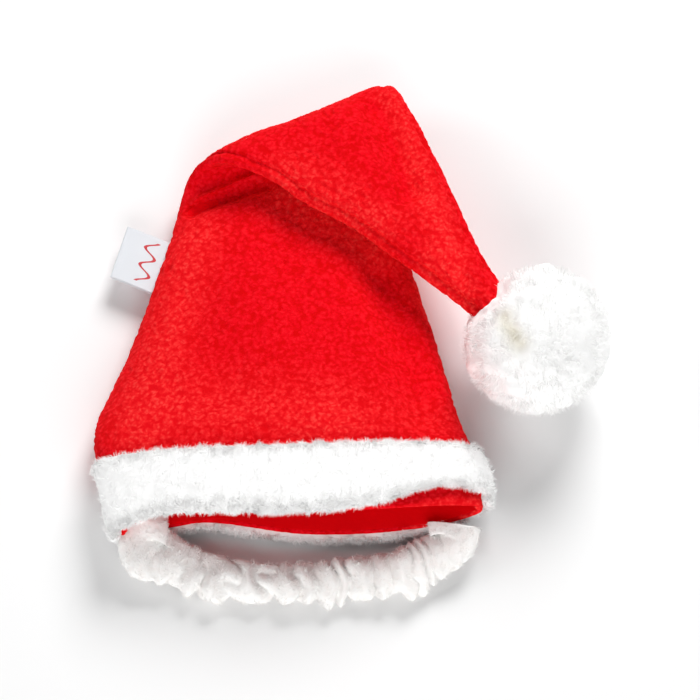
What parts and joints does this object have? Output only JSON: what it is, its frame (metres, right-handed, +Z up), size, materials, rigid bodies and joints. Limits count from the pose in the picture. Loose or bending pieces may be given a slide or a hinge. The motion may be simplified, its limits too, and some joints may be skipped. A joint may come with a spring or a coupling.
{
  "type": "pet santa hat",
  "caption": "Red fleece pointed hat for a dog or cat with a white plush cuff, a gathered elastic chin strap and a fur pompom, lying folded over.",
  "frame": {"origin": "on the surface that the hat lies on, under the middle of the whole hat", "axes": "+Z up from that surface; +Y from the mouth towards the fold of the crown; +X towards the side that the pompom falls to"},
  "size_m": [0.2271, 0.2509, 0.065],
  "materials": {
    "red_fleece": "matte napped fleece",
    "white_plush": "short matte pile",
    "strap_plush": "short matte pile, gathered",
    "faux_fur": "long soft fur",
    "woven_ribbon": "satin weave"
  },
  "bodies": {
    "root": {"crown": "red_fleece", "cuff": "white_plush", "chin_strap": "strap_plush", "pompom": "faux_fur", "label": "woven_ribbon"}
  },
  "joints": []
}
